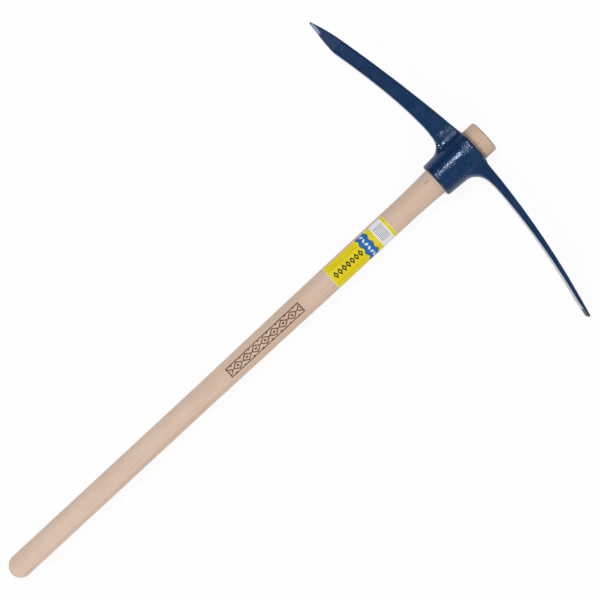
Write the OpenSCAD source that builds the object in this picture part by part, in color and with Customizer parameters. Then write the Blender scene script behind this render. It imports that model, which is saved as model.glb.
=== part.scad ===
// Pick axe with a slip-fit head: a forged eye with a point and a chisel blade, jammed on the
// flared top of a turned wooden handle, and a paper label round the handle's neck.
// The tool lies flat. The handle runs along X with its butt at -X, the point is on the +Y side
// and the chisel on the -Y side. The origin is on the handle's axis, halfway along the grip.

/* [Handle] */
// Length of the handle, butt to top
handle_length = 950; // [850:5:1100]
// Diameter of the straight grip
grip_d = 36; // [30:0.5:38.5]
// Length of the straight grip above the domed butt
grip_length = 370; // [250:5:450]
// Length of the slow taper from grip to neck
taper_length = 245; // [100:5:300]
// Diameter of the neck below the head
neck_d = 39; // [36.5:0.5:42]
// Height of the flared top above the eye
top_height = 23; // [12:1:40]
// Stretch of that top over which the flare goes on
top_flare = 3; // [1:0.5:8]
// Rounding of the top's edge
top_round = 3.5; // [1:0.5:6]
// Half the stretch over which the neck bends into the flare
flare_blend = 32; // [5:1:40]

/* [Eye] */
// Bore of the eye at its lower rim
eye_lower_d = 43.3; // [42.5:0.2:48]
// Bore of the eye at its upper rim
eye_upper_d = 51.6; // [49:0.2:56]
// Length of the eye along the handle
eye_length = 76; // [65:1:90]
// Thickness of the collar's wall
collar_wall = 6.7; // [5:0.1:9]
// Rounding of the collar's outer rims
rim_round = 2.5; // [1:0.1:4]
// Lead-in chamfer at both ends of the bore
eye_lead = 1; // [0.5:0.1:2]
// Gap between the eye and the flare that fills it
eye_gap = 0.1; // [0.05:0.05:0.5]

/* [Point] */
// Reach of the point from the handle's axis
point_reach = 298; // [240:1:340]
// How far its outer line starts below the collar's upper rim
point_sink = 0.2; // [0.2:0.1:3]
// Angle at which its outer line leaves the collar
point_droop = 6.8; // [3:0.1:12]
// Radius of its outer line
point_crown_r = 2500; // [1200:50:5000]
// Depth of the arm next to the collar, along the handle
point_root_depth = 31.4; // [26:0.1:36]
// Further depth where the arm swells into the collar
point_boss = 2.6; // [0:0.1:4]
// Depth of the arm where the sharpened end begins
point_depth = 22.7; // [16:0.1:26]
// Width of the arm next to the collar
point_root_w = 23; // [18:0.5:28]
// Width of the arm where the sharpened end begins
point_w = 19; // [14:0.5:24]
// Length of the sharpened end
point_taper = 58; // [40:1:90]
// Size of the blunt tip
point_tip = 3; // [1.5:0.5:6]
// How far the tip lies below the outer line
point_tip_drop = 4; // [0:0.5:6]
// Length of the two facets ground under the tip
point_facet = 40; // [20:1:50]
// Tilt of these facets from the arm's sides
point_facet_tilt = 25; // [15:1:50]
// Radius of the fillet under the arm
point_fillet = 25; // [10:0.5:26]
// Radius of the fillets beside the arm
point_side_fillet = 18; // [4:0.5:20]
// Rounding of the arm's long edges
point_edge_r = 3.5; // [1:0.25:5]

/* [Chisel] */
// Reach of the cutting edge from the handle's axis
chisel_reach = 299; // [240:1:340]
// How far its outer line starts below the collar's upper rim
chisel_sink = 1.8; // [0.2:0.1:4]
// Angle at which its outer line leaves the collar
chisel_droop = 2.8; // [1:0.1:8]
// Radius of its outer line
chisel_crown_r = 1300; // [900:50:4000]
// Thickness of the blade next to the collar
chisel_root_t = 13.6; // [11.5:0.1:18]
// Further thickness where the blade swells into the collar
chisel_boss = 1.3; // [0:0.1:4]
// Thickness that the blade's straight taper starts from
chisel_mid_t = 11.2; // [9:0.1:13]
// Thickness of the blade where the bevel begins
chisel_t = 6; // [4.5:0.1:9]
// Width of the blade at its root
chisel_root_w = 30; // [24:0.5:38]
// Width of the cutting edge
chisel_w = 56; // [40:0.5:62]
// Length of the bevel on the underside
chisel_bevel = 25; // [10:0.5:40]
// Thickness of the blunt cutting edge
chisel_edge_t = 2.6; // [1:0.1:4]
// Radius of the fillet under the blade
chisel_fillet = 30; // [14:0.5:32]
// Radius of the fillets beside the blade
chisel_side_fillet = 22; // [8:0.5:26]
// Rounding of the blade's long edges
chisel_edge_r = 2.2; // [0.5:0.1:3]

/* [Label] */
// Length of the label along the handle
label_length = 117; // [60:1:140]
// Angle that the label wraps round the neck
label_wrap = 135; // [60:5:300]
// Turn of the label's middle from the top towards the chisel side
label_turn = 8; // [-90:1:90]
// Gap between the label and the eye's lower rim
label_below_eye = 94; // [60:1:120]
// Thickness of the paper
label_t = 0.15; // [0.1:0.05:0.5]
// Thickness of the glue under the paper
label_glue = 0.1; // [0.05:0.05:0.3]

/* [Hidden] */
$fn = 96;

// Sink of the arms' ends in the collar's wall, and of their fillets' feet under the collar's face
arm_sink = 0.6;
arm_bite = 0.8;
// Half the length over which an arm's swell runs out, about the end of its fillet
boss_half = 10;
// Bends of the arms' lines: growth to the root, crowding of sections there, sharpened end, its narrowing,
// spread of the blade
swell_curve = 3;
run_curve = 1.6;
tip_curve = 1.3;
narrow_curve = 2.4;
width_curve = 1.1;
// Most of a section's half that its edge rounding may take
edge_share = 0.8;
// Angle at which the fillets stop, steep enough to cut the collar's face cleanly
fillet_end = 80;
// Flats along each curve
corner_steps = 4;
flat_steps = 10;
root_steps = 5;
fillet_steps = 11;
run_steps = 9;
end_steps = 9;
flare_steps = 6;

// Places along the handle
butt_x = -(grip_d + grip_length) / 2;
grip_end_x = grip_length / 2;
neck_x = grip_end_x + taper_length;
top_x = butt_x + handle_length;
eye_top_x = top_x - top_height;
eye_low_x = eye_top_x - eye_length;
label_end_x = eye_low_x - label_below_eye;
label_start_x = label_end_x - label_length;

// The eye's cone, the handle's flare inside it and the collar round it
eye_slope = (eye_upper_d - eye_lower_d) / 2 / eye_length;
flare_x = eye_low_x - (eye_lower_d / 2 - eye_gap - neck_d / 2) / eye_slope;
function eye_r(x) = eye_lower_d / 2 + (x - eye_low_x) * eye_slope;
function collar_r(x) = eye_r(x) + collar_wall;

// The neck runs into the flare on a parabola, as long as the room below the eye allows
flare_half = min(flare_blend, eye_low_x - flare_x, flare_x - neck_x);
function flare_r(x) = neck_d / 2 + eye_slope * pow(x - flare_x + flare_half, 2) / flare_half / 4;

// Radius of the handle at each place where its outline turns
top_r = eye_r(eye_top_x + top_flare) - eye_gap;
handle_outline = concat(
    [[butt_x + grip_d / 2, grip_d / 2], [grip_end_x, grip_d / 2], [neck_x, neck_d / 2]],
    [for (i = [0:flare_steps]) let (x = flare_x + flare_half * (2 * i / flare_steps - 1)) [x, flare_r(x)]],
    [[eye_top_x + top_flare, top_r], [top_x - top_round, top_r]]
);
function handle_r(x) = lookup(x, handle_outline);

function mix(a, b, t) = a + (b - a) * t;
function within(t) = min(1, max(0, t));

// Each arm starts inside the collar's wall and leaves it just under the upper rim
arm_start_y = eye_upper_d / 2 - arm_sink;

// Outer line of an arm: an arc that leaves the collar at the droop angle
function crown_x(y, sink, droop, r) =
    eye_top_x - sink + r * (cos(asin((y - arm_start_y) / r + sin(droop))) - cos(droop));

// Share of an arm's swell at y, full on the collar's side of the fillet's end and then running out
function swell(y, root_y) = (1 + cos(180 * within((y - root_y + boss_half) / boss_half / 2))) / 2;

// Radius, just inside the collar, on which the fillets of an arm with this underside end
function foot_r(under_x, fillet_r) = collar_r(under_x - fillet_r) - arm_bite;

// Half width that a fillet of radius r adds beside an arm, from a round foot of radius c
function side_flare(y, half_w, r, c) =
    let (mid_y = sqrt(pow(c + r, 2) - pow(half_w + r, 2)))
    let (foot_y = mid_y * c / (c + r))
    let (out = max(0, mid_y - max(y, foot_y)))
    r - sqrt(r * r - out * out);

// Depth that a fillet of radius r adds under an arm, at this distance from the handle's axis
function under_fillet(distance, r, c) =
    let (out = min(c + r - distance, r * sin(fillet_end)))
    out <= 0 ? 0 : r - sqrt(r * r - out * out);

// Quarter round of radius r about [x, z], in quadrant q of a section
function corner(y, x, z, r, q) = [
    for (i = [0:corner_steps])
        let (a = (q + i / corner_steps) * 90)
        [x + r * cos(a), y, z + r * sin(a)]
];

// Section of an arm across Y, whose underside sinks into the fillet round the collar
function section(y, top, depth, half_w, edge_r, fillet_r, c) =
    let (low_x = top - depth + edge_r)
    let (side_z = half_w - edge_r)
    let (flat = [for (i = [1:flat_steps - 1]) [low_x - edge_r, y, mix(side_z, -side_z, i / flat_steps)]])
    let (under = concat(corner(y, low_x, side_z, edge_r, 1), flat, corner(y, low_x, -side_z, edge_r, 2)))
    concat(
        corner(y, top - edge_r, side_z, edge_r, 0),
        [for (p = under) [p[0] - under_fillet(norm([y, p[2]]), fillet_r, c), y, p[2]]],
        corner(y, top - edge_r, -side_z, edge_r, 3)
    );

// Distances from the handle's axis at which an arm is drawn: collar, fillet, long run, sharpened end
function stations(fillet_r, c, end_y, reach) =
    let (fillet_y = c + fillet_r)
    let (foot_y = fillet_y - fillet_r * sin(fillet_end))
    concat(
        [for (i = [0:root_steps - 1]) mix(arm_start_y, foot_y, i / root_steps)],
        [for (i = [fillet_steps:-1:0]) fillet_y - fillet_r * sin(fillet_end * i / fillet_steps)],
        [for (i = [1:run_steps]) mix(fillet_y, end_y, pow(i / run_steps, run_curve))],
        [for (i = [1:end_steps]) mix(end_y, reach, i / end_steps)]
    );

// Point: lines and widths by distance from the handle's axis
point_c = foot_r(eye_top_x - point_sink - point_root_depth, point_fillet);
point_root_y = point_c + point_fillet;
point_end_y = point_reach - point_taper;
function point_run(y) = within((y - point_root_y) / (point_end_y - point_root_y));
function point_sharp(y, curve) = pow(within((y - point_end_y) / point_taper), curve);
function point_end(y) = point_sharp(y, tip_curve);
function point_depth_at(y) =
    mix(mix(point_depth, point_root_depth, pow(1 - point_run(y), swell_curve)), point_tip, point_end(y))
    + point_boss * swell(y, point_root_y);
function point_half_w(y) =
    mix(mix(point_root_w, point_w, point_run(y)), point_tip, point_sharp(y, narrow_curve)) / 2;
function point_top(y) =
    crown_x(y, point_sink, point_droop, point_crown_r) - point_tip_drop * pow(point_end(y), 2);
function point_section(y) =
    let (half = point_half_w(y))
    let (flared = half + side_flare(y, half, point_side_fillet, point_c))
    let (edge = min(point_edge_r, half * edge_share, point_depth_at(y) / 2 * edge_share))
    section(y, point_top(y), point_depth_at(y), flared, edge, point_fillet, point_c);

// Each facet runs from an edge of the underside to the underside's middle at the tip
facet_y = point_reach - point_facet;
facet_start = [point_top(facet_y) - point_depth_at(facet_y), facet_y, point_half_w(facet_y)];
facet_end = [point_top(point_reach) - point_tip, point_reach, 0];
facet_run = facet_end - facet_start;
facet_rise = (facet_run[0] * sin(point_facet_tilt) - facet_run[2] * cos(point_facet_tilt)) / facet_run[1];

// Chisel: the same, with a blade that spreads and a bevel under its end
chisel_c = foot_r(eye_top_x - chisel_sink - chisel_root_t, chisel_fillet);
chisel_root_y = chisel_c + chisel_fillet;
chisel_end_y = chisel_reach - chisel_bevel;
function chisel_run(y) = within((y - chisel_root_y) / (chisel_end_y - chisel_root_y));
function chisel_spread(y) = within((y - chisel_root_y) / (chisel_reach - chisel_root_y));
function chisel_depth_at(y) =
    mix(mix(chisel_mid_t, chisel_t, chisel_run(y)), chisel_edge_t, within((y - chisel_end_y) / chisel_bevel))
    + (chisel_root_t - chisel_mid_t) * pow(1 - chisel_run(y), swell_curve)
    + chisel_boss * swell(y, chisel_root_y);
function chisel_section(y) =
    let (half = mix(chisel_root_w, chisel_w, pow(chisel_spread(y), width_curve)) / 2)
    let (flared = half + side_flare(y, half, chisel_side_fillet, chisel_c))
    let (edge = min(chisel_edge_r, chisel_depth_at(y) / 2 * edge_share))
    let (top = crown_x(y, chisel_sink, chisel_droop, chisel_crown_r))
    section(y, top, chisel_depth_at(y), flared, edge, chisel_fillet, chisel_c);

// Solid through a row of sections
module loft(rings) {
    n = len(rings[0]);
    last = len(rings) - 1;
    sides = [
        for (i = [0:last - 1], j = [0:n - 1])
            let (k = (j + 1) % n)
            each [
                [i * n + j, i * n + k, (i + 1) * n + k],
                [i * n + j, (i + 1) * n + k, (i + 1) * n + j]
            ]
    ];
    near = [for (j = [n - 1:-1:0]) j];
    far = [for (j = [0:n - 1]) last * n + j];
    polyhedron([for (ring = rings) each ring], concat([near], sides, [far]));
}

// Turns a profile drawn as [radius, place along X] about the handle's axis
module turned(angle = 360, start = 0) {
    rotate([0, 90, 0])
        rotate_extrude(angle = angle, start = start)
            children();
}

// Quarter round in a turned profile, about [r, x], from one angle on
function rim(r, x, start) = [
    for (i = [0:corner_steps])
        let (a = start + i / corner_steps * 90)
        [r + rim_round * cos(a), x + rim_round * sin(a)]
];

module collar_profile() {
    polygon(concat(
        [[0, eye_low_x]],
        rim(collar_r(eye_low_x) - rim_round, eye_low_x + rim_round, -90),
        rim(collar_r(eye_top_x) - rim_round, eye_top_x - rim_round, 0),
        [[0, eye_top_x]]
    ));
}

module eye_profile() {
    polygon([
        [0, eye_low_x - eye_lead],
        [eye_r(eye_low_x + eye_lead) + 2 * eye_lead, eye_low_x - eye_lead],
        [eye_r(eye_low_x + eye_lead), eye_low_x + eye_lead],
        [eye_r(eye_top_x - eye_lead), eye_top_x - eye_lead],
        [eye_r(eye_top_x - eye_lead) + 2 * eye_lead, eye_top_x + eye_lead],
        [0, eye_top_x + eye_lead]
    ]);
}

// Steel that is ground away below the facet on one side of the tip
module ground_away(side) {
    normal = [-sin(point_facet_tilt), facet_rise, side * cos(point_facet_tilt)];
    translate(facet_end)
        rotate([0, acos(normal[2] / norm(normal)), atan2(normal[1], normal[0])])
            translate([-point_facet, -point_facet, 0]) cube(2 * point_facet);
}

module point_arm() {
    ys = stations(point_fillet, point_c, point_end_y, point_reach);
    difference() {
        loft([for (y = ys) point_section(y)]);
        ground_away(1);
        ground_away(-1);
    }
}

module chisel_arm() {
    ys = stations(chisel_fillet, chisel_c, chisel_end_y, chisel_reach);
    mirror([0, 1, 0]) loft([for (y = ys) chisel_section(y)]);
}

module forged_head() {
    color("#1c2f52")
        difference() {
            union() {
                turned() collar_profile();
                point_arm();
                chisel_arm();
            }
            turned() eye_profile();
        }
}

// Domed butt of the handle
module butt_profile() {
    translate([0, butt_x + grip_d / 2])
        intersection() {
            circle(d = grip_d);
            translate([0, -grip_d / 2]) square(grip_d / 2);
        }
}

// Rounded edge of the handle's top
module top_edge_profile() {
    translate([top_r - top_round, top_x - top_round])
        intersection() {
            circle(r = top_round);
            square(top_round);
        }
}

module handle() {
    color("#d6bda9")
        turned() {
            butt_profile();
            polygon(concat(
                [[0, butt_x + grip_d / 2]],
                [for (p = handle_outline) [p[1], p[0]]],
                [[top_r - top_round, top_x - top_round], [top_r - top_round, top_x], [0, top_x]]
            ));
            top_edge_profile();
        }
}

// The label follows the handle's outline wherever it is put along it
module label() {
    turns = [for (p = handle_outline) if (p[0] > label_start_x && p[0] < label_end_x) p[0]];
    inside = [for (x = concat([label_start_x], turns, [label_end_x])) [handle_r(x) + label_glue, x]];
    outside = [for (i = [len(inside) - 1:-1:0]) inside[i] + [label_t, 0]];
    color("#d7c616")
        turned(angle = label_wrap, start = 180 + label_turn - label_wrap / 2)
            polygon(concat(inside, outside));
}

forged_head();
handle();
label();
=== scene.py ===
import bpy
import math
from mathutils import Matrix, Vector


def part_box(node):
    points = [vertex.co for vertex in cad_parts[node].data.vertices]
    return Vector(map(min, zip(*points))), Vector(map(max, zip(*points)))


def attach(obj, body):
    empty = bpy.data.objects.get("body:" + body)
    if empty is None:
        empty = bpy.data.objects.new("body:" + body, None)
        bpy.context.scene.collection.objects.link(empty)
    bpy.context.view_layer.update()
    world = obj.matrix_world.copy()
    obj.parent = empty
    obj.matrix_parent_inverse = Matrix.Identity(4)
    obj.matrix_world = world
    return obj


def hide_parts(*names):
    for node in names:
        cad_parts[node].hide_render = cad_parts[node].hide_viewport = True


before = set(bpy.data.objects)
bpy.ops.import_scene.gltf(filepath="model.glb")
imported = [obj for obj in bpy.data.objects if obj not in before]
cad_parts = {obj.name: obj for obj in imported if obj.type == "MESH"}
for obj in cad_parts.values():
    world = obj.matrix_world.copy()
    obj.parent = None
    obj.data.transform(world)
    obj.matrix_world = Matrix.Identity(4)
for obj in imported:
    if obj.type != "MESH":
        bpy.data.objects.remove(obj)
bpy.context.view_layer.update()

headLow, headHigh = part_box("forged_head")
handleLow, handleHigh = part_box("handle")
labelLow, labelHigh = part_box("label")
eyeLowX, eyeTopX = headLow.x, headHigh.x
buttX, topX = handleLow.x, handleHigh.x
alongX = (0, math.pi / 2, 0)  # turns a primitive's own axis onto the handle's
mergeGap = 1e-6  # points closer than this are one
evenly = (1, 1, 1)  # a pattern that isn't stretched
print("frame loaded:", ", ".join(sorted(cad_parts)))


# selecting, editing and modifiers

def deselectAll():
    if bpy.context.mode != "OBJECT":
        bpy.ops.object.mode_set(mode="OBJECT")
    bpy.ops.object.select_all(action="DESELECT")


def pickOnly(piece):
    deselectAll()
    piece.select_set(True)
    bpy.context.view_layer.objects.active = piece


def nameNew(name):
    piece = bpy.context.active_object
    piece.name = name
    piece.data.name = name
    return piece


def bakePlace():
    bpy.ops.object.transform_apply(location=True, rotation=True, scale=True)


def editPart(piece, kind, wanted):
    pickOnly(piece)
    bpy.ops.object.mode_set(mode="EDIT")
    bpy.ops.mesh.select_mode(type=kind)
    bpy.ops.mesh.select_all(action="DESELECT")
    bpy.ops.object.mode_set(mode="OBJECT")
    parts = {"VERT": piece.data.vertices, "EDGE": piece.data.edges, "FACE": piece.data.polygons}
    for part in parts[kind]:
        part.select = wanted(part)
    bpy.ops.object.mode_set(mode="EDIT")


def modify(piece, kind, **values):
    pickOnly(piece)
    modifier = piece.modifiers.new(kind.title(), kind)
    for key, value in values.items():
        setattr(modifier, key, value)
    bpy.ops.object.modifier_apply(modifier=modifier.name)


def cloudTexture(name, size, depth):
    texture = bpy.data.textures.new(name, "CLOUDS")
    texture.noise_basis = "IMPROVED_PERLIN"
    texture.noise_scale = size
    texture.noise_depth = depth
    return texture


# shader wiring

def addNode(tree, kind, **values):
    made = tree.nodes.new("ShaderNode" + kind)
    for key, value in values.items():
        setattr(made, key, value)
    return made


def feed(tree, socket, value):
    if hasattr(value, "links"):
        tree.links.new(value, socket)
    else:
        socket.default_value = value


def fill(tree, node, values):
    for name, value in values.items():
        feed(tree, node.inputs[name], value)


def calc(tree, operation, *values, clamp=False):
    made = addNode(tree, "Math", operation=operation, use_clamp=clamp)
    for socket, value in zip(made.inputs, values):
        feed(tree, socket, value)
    return made.outputs[0]


def times(tree, first, second):
    return calc(tree, "MULTIPLY", first, second)


def largest(tree, first, second):
    return calc(tree, "MAXIMUM", first, second)


def waves(tree, value, length):
    return calc(tree, "SINE", times(tree, value, math.tau / length))


def addShares(tree, total, *parts):
    for mask, share in parts:
        total = calc(tree, "MULTIPLY_ADD", mask, share, total)
    return total


def vectorCalc(tree, operation, *values, output="Vector"):
    made = addNode(tree, "VectorMath", operation=operation)
    for socket, value in zip(made.inputs, values):
        feed(tree, socket, value)
    return made.outputs[output]


def scaled(tree, vector, factor):
    made = addNode(tree, "VectorMath", operation="SCALE")
    feed(tree, made.inputs[0], vector)
    feed(tree, made.inputs["Scale"], factor)
    return made.outputs[0]


def ramp(tree, value, low, high, toLow=0.0, toHigh=1.0):
    made = addNode(tree, "MapRange", interpolation_type="SMOOTHSTEP")
    for socket, given in zip(made.inputs, (value, low, high, toLow, toHigh)):
        feed(tree, socket, given)
    return made.outputs[0]


def band(tree, value, low, high, soft):
    rise = ramp(tree, value, low - soft, low + soft)
    fall = ramp(tree, value, high - soft, high + soft, 1.0, 0.0)
    return times(tree, rise, fall)


def noise(tree, vector, size, detail=2.0, rough=0.5, output="Fac"):
    made = addNode(tree, "TexNoise")
    scale = calc(tree, "DIVIDE", 1.0, size) if hasattr(size, "links") else 1.0 / size
    fill(tree, made, {"Vector": vector, "Scale": scale, "Detail": detail, "Roughness": rough})
    return made.outputs[output]


def splitAxes(tree, vector):
    made = addNode(tree, "SeparateXYZ")
    feed(tree, made.inputs[0], vector)
    return made.outputs[0], made.outputs[1], made.outputs[2]


def blendTone(tree, share, first, second):
    made = addNode(tree, "Mix", data_type="RGBA")
    for index, value in ((0, share), (6, first), (7, second)):
        feed(tree, made.inputs[index], value)
    return made.outputs[2]


def layTone(tree, under, over, mask, share):
    return blendTone(tree, times(tree, mask, share), under, over)


def tone(red, green, blue):
    def linear(value):
        share = value / 255
        return share / 12.92 if share <= 0.04045 else ((share + 0.055) / 1.055) ** 2.4
    return (linear(red), linear(green), linear(blue), 1.0)


def bumps(tree, shader, height, strength, distance):
    made = addNode(tree, "Bump")
    fill(tree, made, {"Strength": strength, "Distance": distance, "Height": height})
    tree.links.new(made.outputs["Normal"], shader.inputs["Normal"])


def startMaterial(name):
    material = bpy.data.materials.new(name)
    material.use_nodes = True
    tree = material.node_tree
    return material, tree, tree.nodes["Principled BSDF"]


def startGroup(name, vectors, numbers, outputs):
    group = bpy.data.node_groups.new(name, "ShaderNodeTree")
    sockets = ((vectors, "INPUT", "Vector"), (numbers, "INPUT", "Float"), (outputs, "OUTPUT", "Float"))
    for keys, way, kind in sockets:
        for key in keys:
            group.interface.new_socket(name=key, in_out=way, socket_type="NodeSocket" + kind)
    given = group.nodes.new("NodeGroupInput").outputs
    made = group.nodes.new("NodeGroupOutput").inputs
    return group, given, made


def place(tree, group, output=0, **values):
    placed = addNode(tree, "Group", node_tree=group)
    fill(tree, placed, values)
    return placed.outputs[output]


# effects that several finishes share

effectSettings = {
    "mottleNoise": (3.0, 0.55),  # detail and roughness
    "speckCore": 0.55,  # solid share of a speck's radius
    "swaySize": 0.004,  # how fast a hairline wanders
    "lineCore": 0.4,  # solid share of a hairline's width
    "strokeEdge": (0.35, 0.65),  # where a drawn stroke fades out, in shares of its width
    "wearNoise": (4.0, 0.6),
    "wearPatches": 0.9,
    "wearSoft": 0.12,
}


def makeMottle():
    group, given, made = startGroup(
        "softMottle", ["vector", "stretch"], ["size", "low", "high"], ["share"])
    spread = vectorCalc(group, "MULTIPLY", given["vector"], given["stretch"])
    clouds = noise(group, spread, given["size"], *effectSettings["mottleNoise"])
    feed(group, made["share"], ramp(group, clouds, given["low"], given["high"]))
    return group


def makeSpecks():
    group, given, made = startGroup(
        "fineSpecks", ["vector", "stretch"], ["size", "radius", "amount"], ["mask"])
    cells = addNode(group, "TexVoronoi")
    spread = vectorCalc(group, "MULTIPLY", given["vector"], given["stretch"])
    fill(group, cells, {"Vector": spread, "Scale": calc(group, "DIVIDE", 1.0, given["size"])})
    chance = splitAxes(group, cells.outputs["Color"])[0]
    inner = times(group, given["radius"], effectSettings["speckCore"])
    dot = ramp(group, cells.outputs["Distance"], inner, given["radius"], 1.0, 0.0)
    shown = calc(group, "LESS_THAN", chance, given["amount"])
    feed(group, made["mask"], times(group, dot, shown))
    return group


def makeHairline():
    group, given, made = startGroup(
        "hairline", ["vector", "start", "end"], ["width", "wander"], ["line"])
    sway = noise(group, given["vector"], effectSettings["swaySize"], output="Color")
    sway = vectorCalc(group, "SUBTRACT", sway, (0.5, 0.5, 0.5))  # to both sides alike
    spot = vectorCalc(group, "ADD", given["vector"], scaled(group, sway, given["wander"]))
    away = vectorCalc(group, "SUBTRACT", spot, given["start"])
    run = vectorCalc(group, "SUBTRACT", given["end"], given["start"])
    reach = vectorCalc(group, "DOT_PRODUCT", away, run, output="Value")
    square = vectorCalc(group, "DOT_PRODUCT", run, run, output="Value")
    share = calc(group, "DIVIDE", reach, square, clamp=True)
    gap = vectorCalc(group, "DISTANCE", away, scaled(group, run, share), output="Value")
    swell = times(group, share, calc(group, "SUBTRACT", 1.0, share))
    slim = times(group, calc(group, "SQRT", swell), given["width"])  # thins out at both ends
    core = times(group, slim, effectSettings["lineCore"])
    feed(group, made["line"], ramp(group, gap, core, slim, 1.0, 0.0))
    return group


def makeLozenges():
    group, given, made = startGroup(
        "lozengeRow", [], ["along", "across", "pitch", "halfLength", "halfWidth", "stroke", "reach"],
        ["outline", "inside"])
    half = times(group, given["pitch"], 0.5)
    local = calc(group, "WRAP", given["along"], half, times(group, half, -1.0))
    byLength = calc(group, "DIVIDE", calc(group, "ABSOLUTE", local), given["halfLength"])
    byWidth = calc(group, "DIVIDE", calc(group, "ABSOLUTE", given["across"]), given["halfWidth"])
    slant = calc(group, "POWER", given["halfLength"], -2.0)
    slant = calc(group, "ADD", slant, calc(group, "POWER", given["halfWidth"], -2.0))
    gap = calc(group, "SUBTRACT", calc(group, "ADD", byLength, byWidth), 1.0)
    gap = calc(group, "DIVIDE", gap, calc(group, "SQRT", slant))  # metres from the outline
    kept = calc(group, "LESS_THAN", calc(group, "ABSOLUTE", given["along"]), given["reach"])
    thin, thick = (times(group, given["stroke"], share) for share in effectSettings["strokeEdge"])
    outline = ramp(group, calc(group, "ABSOLUTE", gap), thin, thick, 1.0, 0.0)
    inner, outer = (times(group, thin, share) for share in (-0.5, 0.5))
    inside = ramp(group, gap, inner, outer, 1.0, 0.0)
    feed(group, made["outline"], times(group, outline, kept))
    feed(group, made["inside"], times(group, inside, kept))
    return group


def makeWear():
    group, given, made = startGroup("edgeWear", ["vector"], ["edge", "size", "start"], ["mask"])
    s = effectSettings
    patchy = calc(group, "SUBTRACT", noise(group, given["vector"], given["size"], *s["wearNoise"]), 0.5)
    worn = calc(group, "MULTIPLY_ADD", patchy, s["wearPatches"], given["edge"])
    full = calc(group, "ADD", given["start"], s["wearSoft"])
    feed(group, made["mask"], ramp(group, worn, given["start"], full))
    return group


softMottle = makeMottle()
fineSpecks = makeSpecks()
hairline = makeHairline()
lozengeRow = makeLozenges()
edgeWear = makeWear()
print("shared effects made")


# handle: an outline of drawn points, spun round its axis

handleSettings = {
    "gripRadius": 0.018,
    "gripLength": 0.370,
    "taperLength": 0.245,
    "neckRadius": 0.0195,
    "eyeLowRadius": 0.02155,  # what fills the eye at its lower rim
    "topHeight": 0.023,  # wood proud of the eye
    "topFlare": 0.003,
    "topRound": 0.0035,
    "flareBlend": 0.032,
    "endRings": (0.8, 0.55, 0.3, 0.12),  # loops on the flat end, in shares of its radius
    "domeSteps": 16,
    "bendSteps": 12,
    "roundSteps": 6,
    "loopEvery": 0.012,
    "spinSteps": 128,
    "startSize": 0.001,
    "smoothAngle": 40,
}


def handleOutline():
    s = handleSettings
    gripStart = buttX + s["gripRadius"]
    gripEnd = gripStart + s["gripLength"]
    neckStart = gripEnd + s["taperLength"]
    topRadius = handleHigh.z
    flareEnd = topX - s["topHeight"] + s["topFlare"]
    slope = (topRadius - s["eyeLowRadius"]) / (flareEnd - eyeLowX)
    flareStart = eyeLowX - (s["eyeLowRadius"] - s["neckRadius"]) / slope
    half = s["flareBlend"]
    roundX, roundR = topX - s["topRound"], topRadius - s["topRound"]
    corners = []
    for i in range(s["domeSteps"]):  # domed butt
        turn = math.pi / 2 * i / s["domeSteps"]
        corners.append((gripStart - s["gripRadius"] * math.cos(turn), s["gripRadius"] * math.sin(turn)))
    corners += [(gripStart, s["gripRadius"]), (gripEnd, s["gripRadius"]), (neckStart, s["neckRadius"])]
    for i in range(s["bendSteps"] + 1):  # neck bends into the flare
        x = flareStart + half * (2 * i / s["bendSteps"] - 1)
        rise = slope * (x - flareStart + half) ** 2 / half / 4
        corners.append((x, s["neckRadius"] + rise))
    corners.append((flareEnd, topRadius))
    for i in range(s["roundSteps"] + 1):  # rounded edge of the top
        turn = math.pi / 2 * i / s["roundSteps"]
        corners.append((roundX + s["topRound"] * math.sin(turn), roundR + s["topRound"] * math.cos(turn)))
    corners += [(topX, roundR * share) for share in s["endRings"]] + [(topX, 0.0)]
    points = [corners[0]]
    for start, end in zip(corners, corners[1:]):  # even loops along the straight runs
        steps = max(1, math.ceil((end[0] - start[0]) / s["loopEvery"]))
        for i in range(1, steps + 1):
            share = i / steps
            points.append((start[0] + (end[0] - start[0]) * share, start[1] + (end[1] - start[1]) * share))
    return points


def makeHandle():
    s = handleSettings
    points = handleOutline()
    deselectAll()
    bpy.ops.mesh.primitive_plane_add(size=s["startSize"], location=(points[0][0], 0, 0))
    handle = nameNew("handle_shaft")
    bakePlace()
    bpy.ops.object.mode_set(mode="EDIT")
    bpy.ops.mesh.merge(type="CENTER")  # one point on the axis to draw from
    for start, end in zip(points, points[1:]):
        step = (end[0] - start[0], 0, end[1] - start[1])
        bpy.ops.mesh.extrude_vertices_move(TRANSFORM_OT_translate={"value": step})
    bpy.ops.mesh.select_all(action="SELECT")
    bpy.ops.mesh.spin(steps=s["spinSteps"], angle=math.tau, center=(0, 0, 0), axis=(1, 0, 0))
    bpy.ops.mesh.select_all(action="SELECT")
    bpy.ops.mesh.remove_doubles(threshold=mergeGap)
    bpy.ops.mesh.normals_make_consistent(inside=False)
    pickOnly(handle)
    bpy.ops.object.shade_smooth_by_angle(angle=math.radians(s["smoothAngle"]))
    return handle


handle = makeHandle()
print("handle spun:", len(handle.data.polygons), "faces")


# head: the forging's own body, plugged, softened as forged steel, and its eye cut again

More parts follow.
